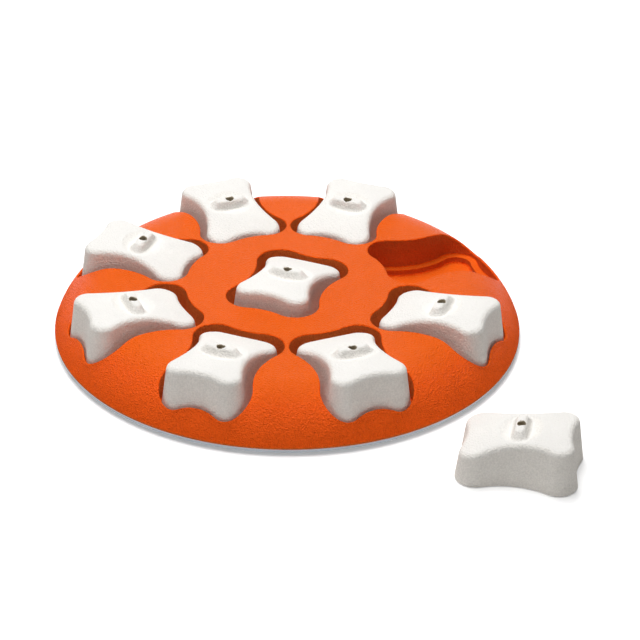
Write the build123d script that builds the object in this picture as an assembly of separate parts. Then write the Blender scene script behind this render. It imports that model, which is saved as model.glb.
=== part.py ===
from build123d import *
import os
from math import acos, asin, atan2, cos, degrees, hypot, radians, sin, sqrt

# Dog puzzle feeder toy: a low round board with bone-shaped pockets for treats, and a loose hollow
# bone that covers each pocket.  Millimetres, +Z up, origin on the floor under the board's centre.

# ---------------------------------------------------------------- driving dimensions

# Board: an orange moulded shell on a pale base plate
board_diameter = 280.0
shell_wall = 2.5
rim_lip_height = 1.0            # short upright edge where the shell meets the base plate
shoulder_radius = 38.0          # round shoulder between the rim and the plateau
shoulder_slope = 71.6           # degrees from level where the shoulder meets the rim lip
plateau_crown_radius = 4000.0   # the plateau is very slightly domed
pocket_rim_radius = 0.8         # rounding of the pockets' upper edges

# Base plate, feet and screws
plate_thickness = 2.5
plate_inset = 0.6               # the plate stops this far inside the shell's edge
plate_edge_radius = 0.5
register_height = 1.5           # ring on the plate that centres it inside the shell
register_width = 2.0
register_clearance = 0.3
foot_diameter = 16.0
foot_proud = 1.5                # how far the feet stand out below the plate
foot_recess_depth = 0.8
foot_recess_clearance = 0.3
foot_edge_radius = 0.4
foot_edge_distance = 22.0       # from the board's edge in to each foot's centre
foot_count = 8
screw_edge_distance = 28.0      # from the board's edge in to each screw's centre
screw_count = 8
screw_head_diameter = 6.0
screw_head_height = 1.5
screw_head_edge_radius = 0.5
screw_shank_diameter = 2.8
screw_shank_length = 9.0
screw_slot_width = 0.9
screw_slot_length = 3.6
screw_slot_depth = 0.8
head_recess_clearance = 0.3     # round and above each screw head
shank_clearance = 0.05          # round the screw's shank, in the boss
shank_hole_clearance = 0.3      # round the screw's shank, in the plate
boss_diameter = 8.0
boss_extra_depth = 1.5          # pilot hole beyond the screw's tip

# Bone: outline at its lower edge, long axis along X
lobe_x = 23.1                   # centre of each corner lobe
lobe_y = 14.6
lobe_radius = 11.3
waist_half_width = 20.7         # at the middle of the long sides
end_half_length = 32.4          # at the middle of the short ends
bone_wall = 2.0
bone_roof = 2.8
bone_draft = 7.5                # degrees, narrowing upwards
bone_low_end = 18.0             # height of the top's edge at the end that faces the board's centre
bone_high_end = 27.2            # height at the end that faces the rim
bone_crown_radius = 150.0       # the top is domed
bone_top_radius = 3.6           # rounding of the top's edge
bone_foot_radius = 0.6          # rounding of the lower outer edge

# Raised finger rib across each bone's waist, in a scooped dish, with a scent hole through it
dish_length = 34.0              # along the rib
dish_width = 27.0
dish_depth = 3.4
dish_edge_radius = 2.0
rib_foot_length = 29.0          # at the depth of the dish's floor
rib_foot_width = 11.0
rib_foot_corner = 4.5
rib_crest_length = 17.0
rib_crest_width = 5.0
rib_crest_corner = 2.3
rib_proud = 2.8                 # crest above the undished top
rib_edge_radius = 2.0           # round its crest
rib_flare_radius = 1.5          # rounding where the rib meets the dish
scent_hole_diameter = 4.8

# Pockets: an upright wall, a ledge that carries the bone, and a deeper treat well inside it
pocket_count = 8
pocket_ring_radius = 96.2
first_pocket_angle = 22.5
pocket_clearance = 1.9          # between a bone's lower edge and the pocket wall, in the ring
centre_pocket_clearance = 2.8   # the same, in the middle pocket
pocket_depth = 18.6             # from the plateau's edge down to the ledge
pocket_foot_radius = 0.6        # rounding between pocket wall and ledge
well_margin = 0.3               # the well's wall lies this far inside the bone's inner face
well_depth = 4.2
well_floor_radius = 1.5
centre_bone_angle = 247.5       # its high end faces this way

# Places of the nine bones: seven in the ring by pocket number, where pocket 0 is empty, one in the
# middle, and the bone that was lifted out
ring_bone_names = {1: "bone_back_right", 2: "bone_back_left", 3: "bone_upper_left", 4: "bone_left",
                   5: "bone_front_left", 6: "bone_front_right", 7: "bone_right"}
bone_slack_shift = {1: 0.5, 2: 0.5, 3: -0.5, 4: 1.5, 5: 1.5, 6: 1.5, 7: 1.5}    # outwards, in its pocket
loose_bone_x = 130.0
loose_bone_y = -149.8
loose_bone_angle = -10.7

# ---------------------------------------------------------------- worked-out heights and places

board_radius = board_diameter / 2
foot_ring_radius = board_radius - foot_edge_distance
screw_ring_radius = board_radius - screw_edge_distance
plate_bottom = foot_proud
plate_top = plate_bottom + plate_thickness
lip_top = plate_top + rim_lip_height
shoulder_centre_r = board_radius - shoulder_radius * sin(radians(shoulder_slope))
shoulder_centre_z = lip_top - shoulder_radius * cos(radians(shoulder_slope))
crown_slope = asin(shoulder_centre_r / (plateau_crown_radius - shoulder_radius))
crown_centre_z = shoulder_centre_z - (plateau_crown_radius - shoulder_radius) * cos(crown_slope)
plateau_edge_z = shoulder_centre_z + shoulder_radius * cos(crown_slope)
board_top = crown_centre_z + plateau_crown_radius
ledge_z = plateau_edge_z - pocket_depth
well_floor_z = ledge_z - well_depth
pitch = 360 / pocket_count
inner_outline_inset = bone_wall + well_margin

same_place = 0.01               # points closer than this are one point
cut_margin = 1.0                # cutters run this far past the material they open
BOTTOM = (Align.CENTER, Align.CENTER, Align.MIN)
TOP = (Align.CENTER, Align.CENTER, Align.MAX)


def around(radius, angle):
    """Point at a plan radius and angle in degrees."""
    return (radius * cos(radians(angle)), radius * sin(radians(angle)))


def ring_place(index):
    """Location of a ring pocket, its X axis pointing outwards."""
    angle = first_pocket_angle + index * pitch
    x, y = around(pocket_ring_radius, angle)
    return Location((x, y, 0), (0, 0, angle))


def centre_place():
    return Location((0, 0, 0), (0, 0, centre_bone_angle))


def loose_place():
    return Location((loose_bone_x, loose_bone_y, 0), (0, 0, loose_bone_angle))


# ---------------------------------------------------------------- bone outline

def bone_outline(offset=0.0):
    """Face inside the bone's outline, moved outwards by offset: lobes, waists and end notches."""
    lobe = lobe_radius + offset
    waist = waist_half_width + offset
    end = end_half_length + offset
    # Each hollow side is an arc tangent to the two lobes beside it.
    waist_arc = (lobe_x ** 2 + (lobe_y - waist) ** 2 - lobe ** 2) / (2 * (lobe + lobe_y - waist))
    end_arc = (lobe_y ** 2 + (lobe_x - end) ** 2 - lobe ** 2) / (2 * (lobe + lobe_x - end))
    to_waist = atan2(waist + waist_arc - lobe_y, -lobe_x)
    to_end = atan2(-lobe_y, end + end_arc - lobe_x)
    middle = (to_waist + to_end) / 2

    def on_lobe(angle, sx, sy):
        return (sx * (lobe_x + lobe * cos(angle)), sy * (lobe_y + lobe * sin(angle)))

    edges = []
    for sx, sy in ((1, 1), (-1, 1), (-1, -1), (1, -1)):
        ends = [on_lobe(angle, sx, sy) for angle in (to_end, middle, to_waist)]
        edges.append(ThreePointArc(*ends))
    for side in (1, -1):
        edges.append(ThreePointArc(on_lobe(to_waist, 1, side), (0, side * waist), on_lobe(to_waist, -1, side)))
        edges.append(ThreePointArc(on_lobe(to_end, side, 1), (side * end, 0), on_lobe(to_end, side, -1)))
    return make_face(edges)


# ---------------------------------------------------------------- board shell

def dome_solid(inset):
    """Solid under the board's outer skin, or under that skin moved inwards by inset."""
    shoulder = shoulder_radius - inset
    crown = plateau_crown_radius - inset
    if inset > 0:
        foot_slope = acos((plate_top - shoulder_centre_z) / shoulder)
    else:
        foot_slope = radians(shoulder_slope)

    def on_shoulder(slope):
        return (shoulder_centre_r + shoulder * sin(slope), shoulder_centre_z + shoulder * cos(slope))

    def on_crown(slope):
        return (crown * sin(slope), crown_centre_z + crown * cos(slope))

    foot = on_shoulder(foot_slope)
    skin = [
        ThreePointArc(foot, on_shoulder((foot_slope + crown_slope) / 2), on_shoulder(crown_slope)),
        ThreePointArc(on_crown(crown_slope), on_crown(crown_slope / 2), on_crown(0)),
    ]
    outer_corner = (foot[0], plate_top)
    if foot[1] - plate_top > rim_lip_height / 2:
        skin.append(Line(outer_corner, foot))
    skin.append(Line(on_crown(0), (0, plate_top)))
    skin.append(Line((0, plate_top), outer_corner))
    profile = Plane.XZ * make_face(skin)
    return revolve(profile, Axis.Z, 360)


def inner_radius_at(z):
    """Plan radius of the shell's inner face at a height on its shoulder."""
    shoulder = shoulder_radius - shell_wall
    return shoulder_centre_r + shoulder * sin(acos((z - shoulder_centre_z) / shoulder))


def skin_height(radius):
    """Height of the board's outer skin at a plan radius."""
    if radius < plateau_crown_radius * sin(crown_slope):
        return crown_centre_z + sqrt(plateau_crown_radius ** 2 - radius ** 2)
    return shoulder_centre_z + sqrt(shoulder_radius ** 2 - (radius - shoulder_centre_r) ** 2)


def lower_edges(solid, z):
    """Edges that lie in the level plane z."""
    return solid.edges().filter_by_position(Axis.Z, z - same_place, z + same_place)


def rim_edges(shell):
    """Upper edges of the pockets: the edges on the outer skin, apart from the board's own edge."""
    rims = []
    for edge in shell.edges():
        points = [edge.position_at(share) for share in (0, 0.5, 1)]
        if max(hypot(point.X, point.Y) for point in points) > board_radius - shell_wall:
            continue
        if all(abs(skin_height(hypot(point.X, point.Y)) - point.Z) < same_place for point in points):
            rims.append(edge)
    return rims


def pocket_cutter(clearance):
    """The open space of a pocket: upright wall, ledge, and treat well below it."""
    upper = extrude(Pos(0, 0, ledge_z) * bone_outline(clearance), board_top + cut_margin - ledge_z)
    upper = fillet(lower_edges(upper, ledge_z), pocket_foot_radius)
    well = extrude(Pos(0, 0, well_floor_z) * bone_outline(-inner_outline_inset), well_depth + cut_margin)
    well = fillet(lower_edges(well, well_floor_z), well_floor_radius)
    return upper + well


def pocket_backing(clearance):
    """Material that forms the pocket's cup under the shell."""
    upper = extrude(Pos(0, 0, ledge_z - shell_wall) * bone_outline(clearance + shell_wall), board_top - ledge_z)
    well_bottom = well_floor_z - shell_wall
    well = extrude(Pos(0, 0, well_bottom) * bone_outline(shell_wall - inner_outline_inset), ledge_z - well_bottom)
    return upper + well


def pocket_places():
    """Every pocket's location and its clearance round the bone."""
    places = [(ring_place(index), pocket_clearance) for index in range(pocket_count)]
    places.append((centre_place(), centre_pocket_clearance))
    return places


def screw_places():
    angles = [index * 360 / screw_count for index in range(screw_count)]
    return [Location((*around(screw_ring_radius, angle), 0)) for angle in angles]


def make_top_shell():
    skin = dome_solid(0)
    hollow = dome_solid(shell_wall)
    backings = [place * pocket_backing(clearance) for place, clearance in pocket_places()]
    bosses = [place * Pos(0, 0, plate_top) * Cylinder(boss_diameter / 2, board_top - plate_top, align=BOTTOM)
              for place in screw_places()]
    hollow = hollow - backings - bosses
    cutters = [place * pocket_cutter(clearance) for place, clearance in pocket_places()]
    shell = skin - hollow - cutters
    pilot_depth = screw_tip_z() + boss_extra_depth - plate_top
    pilot = Cylinder(screw_shank_diameter / 2 + shank_clearance, pilot_depth, align=BOTTOM)
    shell = shell - [place * Pos(0, 0, plate_top) * pilot for place in screw_places()]
    return fillet(rim_edges(shell), pocket_rim_radius)


# ---------------------------------------------------------------- base plate, feet and screws

def head_seat_z():
    """Underside of the plate's material that each screw head bears on."""
    return plate_bottom + screw_head_height + head_recess_clearance


def screw_tip_z():
    return head_seat_z() + screw_shank_length


def foot_places():
    angles = [first_pocket_angle + index * 360 / foot_count for index in range(foot_count)]
    return [Location((0, 0, 0))] + [Location((*around(foot_ring_radius, angle), 0)) for angle in angles]


def make_base_plate():
    plate = Pos(0, 0, plate_bottom) * Cylinder(board_radius - plate_inset, plate_thickness, align=BOTTOM)
    plate = fillet(lower_edges(plate, plate_bottom), plate_edge_radius)
    ring_outer = inner_radius_at(plate_top + register_height) - register_clearance
    ring = Cylinder(ring_outer, register_height, align=BOTTOM)
    ring = ring - Cylinder(ring_outer - register_width, register_height, align=BOTTOM)
    plate = plate + Pos(0, 0, plate_top) * ring
    foot_recess = Cylinder(foot_diameter / 2 + foot_recess_clearance, foot_recess_depth, align=BOTTOM)
    plate = plate - [place * Pos(0, 0, plate_bottom) * foot_recess for place in foot_places()]
    head_recess_depth = screw_head_height + head_recess_clearance
    head_recess = Cylinder(screw_head_diameter / 2 + head_recess_clearance, head_recess_depth, align=BOTTOM)
    shank_hole = Cylinder(screw_shank_diameter / 2 + shank_hole_clearance, plate_thickness, align=BOTTOM)
    screw_hole = head_recess + shank_hole
    return plate - [place * Pos(0, 0, plate_bottom) * screw_hole for place in screw_places()]


def make_foot():
    foot = Cylinder(foot_diameter / 2, foot_proud + foot_recess_depth, align=BOTTOM)
    return fillet(lower_edges(foot, 0), foot_edge_radius)


def make_screw():
    """Pan-head screw, head down, its head's upper face against the plate."""
    head = Pos(0, 0, head_seat_z()) * Cylinder(screw_head_diameter / 2, screw_head_height, align=TOP)
    head = fillet(lower_edges(head, head_seat_z() - screw_head_height), screw_head_edge_radius)
    shank = Pos(0, 0, head_seat_z()) * Cylinder(screw_shank_diameter / 2, screw_shank_length, align=BOTTOM)
    slot = Box(screw_slot_length, screw_slot_width, screw_slot_depth, align=BOTTOM)
    cross = slot + Rot(0, 0, 90) * slot
    return head + shank - Pos(0, 0, head_seat_z() - screw_head_height) * cross


# ---------------------------------------------------------------- bones

def top_frame():
    """Frame of a bone's sloping top: origin on the skin above the middle, Z along its normal."""
    half_length = lobe_x + lobe_radius
    slope = atan2(bone_high_end - bone_low_end, 2 * half_length)
    sagitta = bone_crown_radius - sqrt(bone_crown_radius ** 2 - half_length ** 2)
    middle_z = (bone_low_end + bone_high_end) / 2 + sagitta
    return Location((0, 0, middle_z), (0, -degrees(slope), 0))


def bone_block(inset, roof_inset, edge_radius):
    """Drafted solid inside the bone's skin, moved inwards by inset and down by roof_inset."""
    frame = top_frame()
    above_the_top = bone_high_end + bone_top_radius
    block = extrude(bone_outline(-inset), above_the_top, taper=bone_draft)
    cap = frame * Pos(0, 0, -bone_crown_radius) * Sphere(bone_crown_radius - roof_inset)
    block = block & cap
    top_face = block.faces().sort_by(Axis.Z)[-1]
    return fillet(top_face.edges(), edge_radius)


def dish_scoop(offset=0.0):
    """Barrel that scoops the dish out of a bone's top, in the top's frame, grown by offset."""
    across = ((dish_width / 2) ** 2 + dish_depth ** 2) / (2 * dish_depth)
    along = ((dish_length / 2) ** 2 + dish_depth ** 2) / (2 * dish_depth)
    pole = sqrt((along + offset) ** 2 - (along - across) ** 2)
    lowest = across + offset
    profile = make_face([
        ThreePointArc((-pole, 0), (0, -lowest), (pole, 0)),
        Line((pole, 0), (-pole, 0)),
    ])
    barrel = revolve(profile, Axis.X, 360)
    return Pos(0, 0, across - dish_depth) * Rot(0, 0, 90) * barrel


def finger_rib():
    """The rib in the top's frame: a ridge with sloping sides and ends, rooted in the roof below it."""
    height = rib_proud + dish_depth
    root = dish_depth + bone_wall / 2
    growth = (root + rib_proud) / height        # the slopes run on down to the root
    root_width = rib_crest_width + (rib_foot_width - rib_crest_width) * growth
    root_length = rib_crest_length + (rib_foot_length - rib_crest_length) * growth
    ridge = loft([
        Pos(0, 0, -root) * RectangleRounded(root_width, root_length, rib_foot_corner),
        Pos(0, 0, rib_proud) * RectangleRounded(rib_crest_width, rib_crest_length, rib_crest_corner),
    ], ruled=True)
    crest = ridge.faces().sort_by(Axis.Z)[-1]
    return fillet(crest.edges(), rib_edge_radius)


def make_bone():
    """One hollow bone, standing on z = 0, its high end towards +X."""
    frame = top_frame()
    bone = bone_block(0, 0, bone_top_radius)
    bone = fillet(lower_edges(bone, 0), bone_foot_radius)
    before = bone.edges()
    bone = bone - frame * dish_scoop()
    bone = fillet(bone.edges() - before, dish_edge_radius)
    before = bone.edges()
    bone = bone + frame * finger_rib()
    bone = fillet(bone.edges() - before, rib_flare_radius)
    inside = bone_block(bone_wall, bone_roof, bone_top_radius - bone_wall)
    bone = bone - (inside - frame * dish_scoop(bone_wall))
    crest_top = frame.position.Z + rib_proud + cut_margin
    return bone - Cylinder(scent_hole_diameter / 2, crest_top, align=BOTTOM)


# ---------------------------------------------------------------- write the nodes

def main():
    nodes = {
        "top_shell": make_top_shell(),
        "base_plate": make_base_plate(),
        "base_screws": Compound(children=[place * make_screw() for place in screw_places()]),
    }
    foot = make_foot()
    for number, place in enumerate(foot_places()):
        name = "rubber_foot_centre" if number == 0 else f"rubber_foot_{number}"
        nodes[name] = place * foot
    bone = make_bone()
    lift = Pos(0, 0, ledge_z)
    for index, name in ring_bone_names.items():
        nodes[name] = ring_place(index) * Pos(bone_slack_shift[index], 0, 0) * lift * bone
    nodes["bone_centre"] = centre_place() * lift * bone
    nodes["bone_loose"] = loose_place() * bone
    os.makedirs("parts", exist_ok=True)
    for name, shape in nodes.items():
        export_step(shape, f"parts/{name}.step")


main()
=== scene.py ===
import bpy
import math
from mathutils import Matrix, Vector


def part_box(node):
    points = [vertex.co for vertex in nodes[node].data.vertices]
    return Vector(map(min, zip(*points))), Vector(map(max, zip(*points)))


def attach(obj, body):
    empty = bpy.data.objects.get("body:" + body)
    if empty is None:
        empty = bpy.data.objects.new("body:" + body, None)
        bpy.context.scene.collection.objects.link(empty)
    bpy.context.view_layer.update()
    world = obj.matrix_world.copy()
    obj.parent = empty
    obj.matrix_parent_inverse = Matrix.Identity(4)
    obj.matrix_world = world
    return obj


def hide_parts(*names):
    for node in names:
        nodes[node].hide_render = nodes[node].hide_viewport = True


# Looks of the dog puzzle feeder toy: finishes, soft bones, floor, light and camera round the CAD frame.
# Metres, +Z up, origin on the floor under the board's centre.

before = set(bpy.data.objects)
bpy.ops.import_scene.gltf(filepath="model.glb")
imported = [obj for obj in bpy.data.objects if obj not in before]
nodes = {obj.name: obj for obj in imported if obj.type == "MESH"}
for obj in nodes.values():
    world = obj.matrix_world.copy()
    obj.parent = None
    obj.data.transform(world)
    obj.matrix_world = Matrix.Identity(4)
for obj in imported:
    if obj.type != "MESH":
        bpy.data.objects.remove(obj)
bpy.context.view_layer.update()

# ---------------------------------------------------------------- pieces by finish

bone_nodes = sorted(name for name in nodes if name.startswith("bone_"))
foot_nodes = sorted(name for name in nodes if name.startswith("rubber_foot"))

# ---------------------------------------------------------------- bones

bone_turns = {                            # the ring's bones point outwards, these two don't
    "bone_centre": math.radians(247.5),
    "bone_loose": math.radians(-10.7),
}
bone_voxel = 0.0006
bone_smoothing_rounds = 4
bone_smoothing_factor = 0.5
weld_distance = 0.00001
scent_hole_radius = 0.0024
scent_hole_margin = 0.00025               # the painted brown shade ends this far outside the hole
scent_hole_fade = 0.00015

# ---------------------------------------------------------------- moulded grain and painted shading on slopes and walls

level_face = 0.99                         # how far up a face looks (its normal's Z) at each kind
sloping_face = 0.80
steep_face = 0.35
nearly_upright_face = 0.30
upright_face = 0.15
level_share = 0.2                         # level faces get this share of a slope's specks and painted shading colour

pit_smoothness = 0.6
fine_detail = 2.0
speck_range = (0.35, 0.65)                # the part of the fine noise that makes the specks
speck_polish = 0.10                       # bright specks are this much glossier
cloud_scale = 45.0
cloud_detail = 3.0
cloud_range = (0.3, 0.7)
cloud_depth = 0.02                        # the clouds change the brightness by this share

grain_inputs = {
    "Place": "NodeSocketVector",
    "Color": "NodeSocketColor",
    "Slope Painted Shading": "NodeSocketColor",
    "Wall Painted Shade": "NodeSocketColor",
    "Grain Scale": "NodeSocketFloat",
    "Speckle": "NodeSocketFloat",
    "Roughness": "NodeSocketFloat",
    "Steep Roughness": "NodeSocketFloat",
}
grain_outputs = {
    "Color": "NodeSocketColor",
    "Roughness": "NodeSocketFloat",
    "Height": "NodeSocketFloat",
}

# ---------------------------------------------------------------- view

picture_width = 640                       # pixels, the picture is square
view_elevation = math.radians(30.47)
view_azimuth = math.radians(0.21)
view_roll = math.radians(0.32)
view_distance = 1.6114
view_lens = 150.0                         # millimetres, as is the sensor's width
sensor_width = 36.0
aim_height = 0.00566                      # the aim point is on the board's axis
aim_pixel_x = 287.5                       # where the aim point lands in the picture
aim_pixel_y = 320.6
nearest_seen = 0.05
farthest_seen = 20.0

# ---------------------------------------------------------------- light and floor

key_light_place = (-0.14, 0.06, 1.5)      # a large soft box overhead
key_light_size = 1.0
key_light_power = 19.7
sheen_light_place = (-0.05, 0.50, 1.45)   # a small one behind, for the sheen on the front shoulder
sheen_light_size = 0.35
sheen_light_power = 6.8
fill_light_place = (-0.3, -1.3, 0.9)      # a weak one in front
fill_light_size = 0.8
fill_light_power = 1.5
ambient_strength = 0.03
background_strength = 1.0                 # white, for the rays that show the background
floor_lift = 0.0002                       # the floor lies this far below the feet
floor_size = 12.0
floor_glow = 0.28                         # light that only the rays that show the floor get from it
floor_color = (0.92, 0.92, 0.92, 1.0)
white = (1.0, 1.0, 1.0, 1.0)


# ---------------------------------------------------------------- node helpers

def feed(tree, socket, value):
    """Link another node's output to a socket, or set the socket to a plain value."""
    if isinstance(value, bpy.types.NodeSocket):
        tree.links.new(value, socket)
    else:
        socket.default_value = value


def noise(tree, place, scale, detail):
    """A noise texture's value at a place."""
    node = tree.nodes.new("ShaderNodeTexNoise")
    feed(tree, node.inputs["Vector"], place)
    feed(tree, node.inputs["Scale"], scale)
    feed(tree, node.inputs["Detail"], detail)
    return node.outputs["Fac"]


def remap(tree, value, low, high, to_low, to_high):
    """A value's range from low to high spread over another range."""
    node = tree.nodes.new("ShaderNodeMapRange")
    feed(tree, node.inputs["Value"], value)
    feed(tree, node.inputs["From Min"], low)
    feed(tree, node.inputs["From Max"], high)
    feed(tree, node.inputs["To Min"], to_low)
    feed(tree, node.inputs["To Max"], to_high)
    return node.outputs["Result"]


def calculate(tree, operation, first, second):
    """Two values, or a value and a number, through a Math node."""
    node = tree.nodes.new("ShaderNodeMath")
    node.operation = operation
    feed(tree, node.inputs[0], first)
    feed(tree, node.inputs[1], second)
    return node.outputs["Value"]


def mix_color(tree, share, first, second):
    """The first colour blended into the second, by a share from 0 to 1."""
    node = tree.nodes.new("ShaderNodeMix")
    node.data_type = "RGBA"
    feed(tree, node.inputs["Factor"], share)
    feed(tree, node.inputs["A"], first)
    feed(tree, node.inputs["B"], second)
    return node.outputs["Result"]


def new_material(name):
    """An empty node material; returns it with its nodes, its shader and its Object coordinates."""
    material = bpy.data.materials.new(name)
    material.use_nodes = True
    tree = material.node_tree
    tree.nodes.clear()
    output = tree.nodes.new("ShaderNodeOutputMaterial")
    shader = tree.nodes.new("ShaderNodeBsdfPrincipled")
    tree.links.new(shader.outputs["BSDF"], output.inputs["Surface"])
    place = tree.nodes.new("ShaderNodeTexCoord")
    return material, tree, shader, place.outputs["Object"]


# ---------------------------------------------------------------- shared effect: moulded grain with painted shading on slopes and walls

def face_masks(group):
    """Masks for sloping, steep and upright faces, from how far a face looks up."""
    facing = group.nodes.new("ShaderNodeTexCoord")
    parts = group.nodes.new("ShaderNodeSeparateXYZ")
    group.links.new(facing.outputs["Normal"], parts.inputs["Vector"])
    upward = parts.outputs["Z"]
    slope = remap(group, upward, level_face, sloping_face, level_share, 1.0)
    steep = remap(group, upward, sloping_face, steep_face, 0.0, 1.0)
    upright = remap(group, upward, nearly_upright_face, upright_face, 0.0, 1.0)
    return slope, steep, upright


def make_grain_and_shading_group():
    """Eroded mould grain: a height for Bump, and a roughness that follows grain and slope; the colour
    has grain specks and painted shading on slopes and upright walls.
    """
    group = bpy.data.node_groups.new("moulded_grain_and_painted_shading", "ShaderNodeTree")
    for name, kind in grain_inputs.items():
        group.interface.new_socket(name=name, in_out="INPUT", socket_type=kind)
    for name, kind in grain_outputs.items():
        group.interface.new_socket(name=name, in_out="OUTPUT", socket_type=kind)
    enter = group.nodes.new("NodeGroupInput").outputs
    leave = group.nodes.new("NodeGroupOutput").inputs
    slope, steep, upright = face_masks(group)

    # Height: small pits with a finer unevenness on them.
    pits = group.nodes.new("ShaderNodeTexVoronoi")
    pits.feature = "SMOOTH_F1"
    pits.inputs["Smoothness"].default_value = pit_smoothness
    feed(group, pits.inputs["Vector"], enter["Place"])
    feed(group, pits.inputs["Scale"], enter["Grain Scale"])
    fine = noise(group, enter["Place"], enter["Grain Scale"], fine_detail)
    height = calculate(group, "ADD", pits.outputs["Distance"], fine)

    # Colour: painted shading blended in on slopes and upright walls, with fine specks and faint clouds
    # in its brightness.
    speck = remap(group, fine, *speck_range, -1.0, 1.0)
    speck = calculate(group, "MULTIPLY", speck, slope)
    cloud = noise(group, enter["Place"], cloud_scale, cloud_detail)
    drift = remap(group, cloud, *cloud_range, -cloud_depth, cloud_depth)
    change = calculate(group, "MULTIPLY", speck, enter["Speckle"])
    change = calculate(group, "ADD", change, drift)
    brightness = calculate(group, "ADD", change, 1.0)
    shade = mix_color(group, slope, enter["Color"], enter["Slope Painted Shading"])
    shade = mix_color(group, upright, shade, enter["Wall Painted Shade"])
    tint = group.nodes.new("ShaderNodeHueSaturation")
    feed(group, tint.inputs["Color"], shade)
    feed(group, tint.inputs["Value"], brightness)

    # Roughness: glossier in the bright specks, duller on steep faces.
    polish = calculate(group, "MULTIPLY", speck, -speck_polish)
    dulled = calculate(group, "MULTIPLY", steep, enter["Steep Roughness"])
    spread = calculate(group, "ADD", polish, dulled)
    roughness = calculate(group, "ADD", spread, enter["Roughness"])

    feed(group, leave["Color"], tint.outputs["Color"])
    feed(group, leave["Roughness"], roughness)
    feed(group, leave["Height"], height)
    return group


grain_and_shading_group = make_grain_and_shading_group()


def moulded_finish(name, color, slope_painted_shading, wall_painted_shade, roughness, steep_roughness,
                   grain_scale, speckle, bump_depth, specular):
    """Moulded plastic or rubber; steep_roughness is what steep faces have on top of roughness; the slope
    and wall colours paint shading onto sloping and upright faces.
    """
    material, tree, shader, place = new_material(name)
    grain = tree.nodes.new("ShaderNodeGroup")
    grain.node_tree = grain_and_shading_group
    feed(tree, grain.inputs["Place"], place)
    feed(tree, grain.inputs["Color"], color)
    feed(tree, grain.inputs["Slope Painted Shading"], slope_painted_shading)
    feed(tree, grain.inputs["Wall Painted Shade"], wall_painted_shade)
    feed(tree, grain.inputs["Grain Scale"], grain_scale)
    feed(tree, grain.inputs["Speckle"], speckle)
    feed(tree, grain.inputs["Roughness"], roughness)
    feed(tree, grain.inputs["Steep Roughness"], steep_roughness)
    bump = tree.nodes.new("ShaderNodeBump")
    bump.inputs["Distance"].default_value = bump_depth
    feed(tree, bump.inputs["Height"], grain.outputs["Height"])
    feed(tree, shader.inputs["Base Color"], grain.outputs["Color"])
    feed(tree, shader.inputs["Roughness"], grain.outputs["Roughness"])
    feed(tree, shader.inputs["Normal"], bump.outputs["Normal"])
    shader.inputs["Specular IOR Level"].default_value = specular
    return material


# ---------------------------------------------------------------- finishes

def orange_shell_finish():
    """Orange plastic, with painted light making slopes lighter and painted shade making the pockets'
    walls browner.
    """
    return moulded_finish(
        "orange_shell",
        color=(0.87, 0.129, 0.007, 1.0),
        # painted light: slopes are lighter and fuller orange than the level top
        slope_painted_shading=(0.97, 0.114, 0.008, 1.0),
        # painted shade: the pockets' upright walls darker and browner
        wall_painted_shade=(0.72, 0.150, 0.030, 1.0),
        roughness=0.31,
        steep_roughness=0.6,
        grain_scale=1150.0,
        speckle=0.06,
        bump_depth=0.0007,
        specular=0.06)


def white_bone_finish():
    """White plastic, with warm painted shade on slopes and upright walls and brown painted shade inside
    the scent hole.
    """
    material = moulded_finish(
        "white_bone",
        color=(0.88, 0.862, 0.83, 1.0),
        # painted shade: a warm tint on slopes
        slope_painted_shading=(0.89, 0.86, 0.81, 1.0),
        # painted shade: upright walls darker and warmer
        wall_painted_shade=(0.87, 0.83, 0.77, 1.0),
        roughness=0.5,
        steep_roughness=0.35,
        grain_scale=1000.0,
        speckle=0.06,
        bump_depth=0.0003,
        specular=0.08)
    tree = material.node_tree
    base_color = tree.nodes["Principled BSDF"].inputs["Base Color"]
    plastic = base_color.links[0].from_socket
    # painted shade: brown inside the scent hole, where the recess is in shade
    painted_hole_shade = (0.50, 0.42, 0.30, 1.0)
    mark = tree.nodes.new("ShaderNodeAttribute")
    mark.attribute_name = "scent_hole"
    feed(tree, base_color, mix_color(tree, mark.outputs["Fac"], plastic, painted_hole_shade))
    return material


def pale_base_finish():
    """Pale blue-grey plastic with hardly any grain."""
    pale_blue = (0.66, 0.73, 0.80, 1.0)
    return moulded_finish(
        "pale_base",
        color=pale_blue,
        slope_painted_shading=pale_blue,
        wall_painted_shade=pale_blue,
        roughness=0.5,
        steep_roughness=0.1,
        grain_scale=1300.0,
        speckle=0.03,
        bump_depth=0.00004,
        specular=0.5)


def foot_rubber_finish():
    """Dull black rubber."""
    black = (0.045, 0.045, 0.047, 1.0)
    return moulded_finish(
        "foot_rubber",
        color=black,
        slope_painted_shading=black,
        wall_painted_shade=black,
        roughness=0.75,
        steep_roughness=0.1,
        grain_scale=1500.0,
        speckle=0.15,
        bump_depth=0.00005,
        specular=0.3)


def screw_steel_finish():
    """Zinc-plated steel, faintly clouded and unevenly polished."""
    dark_zinc = (0.50, 0.50, 0.50, 1.0)
    light_zinc = (0.66, 0.66, 0.67, 1.0)
    material, tree, shader, place = new_material("screw_steel")
    cloud = noise(tree, place, scale=350.0, detail=2.0)
    marks = noise(tree, place, scale=2400.0, detail=2.0)
    polish = remap(tree, marks, low=0.3, high=0.7, to_low=0.28, to_high=0.44)
    feed(tree, shader.inputs["Base Color"], mix_color(tree, cloud, dark_zinc, light_zinc))
    feed(tree, shader.inputs["Roughness"], polish)
    shader.inputs["Metallic"].default_value = 1.0
    return material


def dress(names, material):
    """Give CAD nodes a finish."""
    for name in names:
        data = nodes[name].data
        data.materials.clear()
        data.materials.append(material)


# ---------------------------------------------------------------- bones

def bone_body(name):
    """The body that a bone rides on."""
    return name + "_body"


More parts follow.
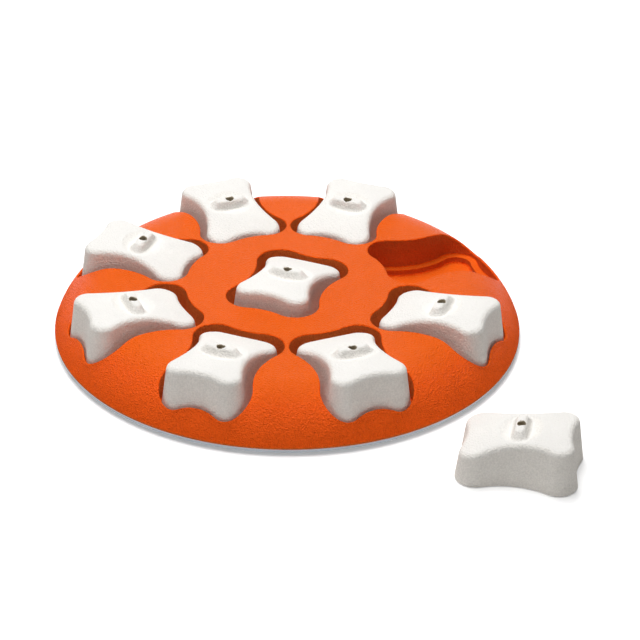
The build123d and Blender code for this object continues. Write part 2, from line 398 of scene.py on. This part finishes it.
def at_origin(name):
    """Matrix to a bone node's place from the origin, where the bone's high end is towards +X."""
    low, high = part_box(name)
    x = (low[0] + high[0]) / 2
    y = (low[1] + high[1]) / 2
    turn = bone_turns.get(name, math.atan2(y, x))
    return Matrix.Translation((x, y, low[2])) @ Matrix.Rotation(turn, 4, "Z")


def select_only(piece):
    """Make a piece the only selected object, and the active one."""
    bpy.ops.object.select_all(action="DESELECT")
    piece.select_set(True)
    bpy.context.view_layer.objects.active = piece


def weld(piece):
    """Merge the loose triangles of a copied CAD mesh."""
    select_only(piece)
    bpy.ops.object.mode_set(mode="EDIT")
    bpy.ops.mesh.select_all(action="SELECT")
    bpy.ops.mesh.remove_doubles(threshold=weld_distance)
    bpy.ops.object.mode_set(mode="OBJECT")


def apply_modifier(piece, kind, **settings):
    """Add a modifier with these settings and apply it."""
    select_only(piece)
    modifier = piece.modifiers.new(kind.lower(), kind)
    for setting, value in settings.items():
        setattr(modifier, setting, value)
    bpy.ops.object.modifier_apply(modifier=modifier.name)


def mark_scent_hole(mesh):
    """Attribute that is 1 on the wall of the scent hole, which stands upright on the bone's own axis; it
    marks where brown shade is painted.
    """
    rim = scent_hole_radius + scent_hole_margin
    mark = mesh.attributes.new("scent_hole", "FLOAT", "POINT")
    for vertex, value in zip(mesh.vertices, mark.data):
        reach = math.hypot(vertex.co.x, vertex.co.y)
        share = (rim - reach) / scent_hole_fade
        value.value = min(1.0, max(0.0, share))


def model_bone():
    """One bone with the soft edges of a thick moulding, in its own place."""
    mesh = nodes["bone_loose"].data.copy()
    mesh.transform(at_origin("bone_loose").inverted())
    bone = bpy.data.objects.new("bone_pattern", mesh)
    bpy.context.scene.collection.objects.link(bone)
    weld(bone)
    apply_modifier(bone, "REMESH", mode="VOXEL", voxel_size=bone_voxel, use_smooth_shade=True)
    apply_modifier(bone, "SMOOTH", factor=bone_smoothing_factor, iterations=bone_smoothing_rounds)
    mark_scent_hole(bone.data)
    return bone


def place_bones(material):
    """A copy of the modelled bone for each bone node."""
    pattern = model_bone()
    pattern.data.materials.clear()
    pattern.data.materials.append(material)
    for name in bone_nodes:
        piece = bpy.data.objects.new("moulded_" + name, pattern.data.copy())
        bpy.context.scene.collection.objects.link(piece)
        piece.data.transform(at_origin(name))
        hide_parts(name)
        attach(piece, bone_body(name))
    bpy.data.objects.remove(pattern)


# ---------------------------------------------------------------- floor, light, camera

def background_rays(tree):
    """1 for the rays that show the background: camera, glossy and transmission rays."""
    path = tree.nodes.new("ShaderNodeLightPath").outputs
    seen = calculate(tree, "MAXIMUM", path["Is Camera Ray"], path["Is Glossy Ray"])
    return calculate(tree, "MAXIMUM", seen, path["Is Transmission Ray"])


def white_floor_finish():
    """Plain white that keeps the object's shadow, with a glow that only background rays get."""
    material = bpy.data.materials.new("white_table")
    material.use_nodes = True
    tree = material.node_tree
    tree.nodes.clear()
    output = tree.nodes.new("ShaderNodeOutputMaterial")
    paper = tree.nodes.new("ShaderNodeBsdfDiffuse")
    paper.inputs["Color"].default_value = floor_color
    glow = tree.nodes.new("ShaderNodeEmission")
    glow.inputs["Color"].default_value = white
    strength = calculate(tree, "MULTIPLY", background_rays(tree), floor_glow)
    both = tree.nodes.new("ShaderNodeAddShader")
    feed(tree, glow.inputs["Strength"], strength)
    feed(tree, both.inputs[0], paper.outputs["BSDF"])
    feed(tree, both.inputs[1], glow.outputs["Emission"])
    feed(tree, output.inputs["Surface"], both.outputs["Shader"])
    return material


def make_floor():
    """White table top just under the feet."""
    bpy.ops.object.select_all(action="DESELECT")
    bpy.ops.mesh.primitive_plane_add(size=floor_size, location=(0, 0, -floor_lift))
    floor = bpy.context.object
    floor.name = "table_top"
    bpy.ops.object.transform_apply(location=True, rotation=True, scale=True)
    floor.data.materials.append(white_floor_finish())


def make_world():
    """Weak studio light from all round, and white where background rays meet it."""
    world = bpy.data.worlds.new("studio")
    world.use_nodes = True
    bpy.context.scene.world = world
    tree = world.node_tree
    tree.nodes.clear()
    output = tree.nodes.new("ShaderNodeOutputWorld")
    back = tree.nodes.new("ShaderNodeBackground")
    back.inputs["Color"].default_value = white
    strength = remap(tree, background_rays(tree), 0.0, 1.0, ambient_strength, background_strength)
    feed(tree, back.inputs["Strength"], strength)
    feed(tree, output.inputs["Surface"], back.outputs["Background"])


def make_lamp(name, place, size, power):
    """A square soft box that faces the board's centre."""
    lamp = bpy.data.lights.new(name, "AREA")
    lamp.shape = "SQUARE"
    lamp.size = size
    lamp.energy = power
    holder = bpy.data.objects.new(name, lamp)
    bpy.context.scene.collection.objects.link(holder)
    holder.location = place
    holder.rotation_euler = (-Vector(place)).to_track_quat("-Z", "Y").to_euler()


def make_camera():
    """Long lens; the board's axis lands left of the picture's centre."""
    data = bpy.data.cameras.new("camera")
    data.lens = view_lens
    data.sensor_width = sensor_width
    data.clip_start = nearest_seen
    data.clip_end = farthest_seen
    camera = bpy.data.objects.new("camera", data)
    bpy.context.scene.collection.objects.link(camera)
    bpy.context.scene.camera = camera
    back = Vector((math.sin(view_azimuth) * math.cos(view_elevation),
                   -math.cos(view_azimuth) * math.cos(view_elevation),
                   math.sin(view_elevation)))
    right = Vector((math.cos(view_azimuth), math.sin(view_azimuth), 0.0))
    up = back.cross(right)
    on_axis = Vector((0.0, 0.0, aim_height))
    pixel = view_distance * sensor_width / (view_lens * picture_width)
    across = (picture_width / 2 - aim_pixel_x) * pixel
    above = (aim_pixel_y - picture_width / 2) * pixel
    place = on_axis + back * view_distance
    aim = on_axis + right * across + up * above
    away = (place - aim).normalized()
    side = up.cross(away).normalized()
    turn = Matrix((side, away.cross(side), away)).transposed().to_4x4()
    camera.matrix_world = Matrix.Translation(place) @ turn @ Matrix.Rotation(view_roll, 4, "Z")


# ---------------------------------------------------------------- making

dress(["top_shell"], orange_shell_finish())
dress(["base_plate"], pale_base_finish())
dress(["base_screws"], screw_steel_finish())
dress(foot_nodes, foot_rubber_finish())
bone_material = white_bone_finish()
dress(bone_nodes, bone_material)
place_bones(bone_material)

make_floor()
make_world()
make_lamp("key_light", key_light_place, key_light_size, key_light_power)
make_lamp("sheen_light", sheen_light_place, sheen_light_size, sheen_light_power)
make_lamp("fill_light", fill_light_place, fill_light_size, fill_light_power)
make_camera()
bpy.context.scene.view_settings.view_transform = "Standard"
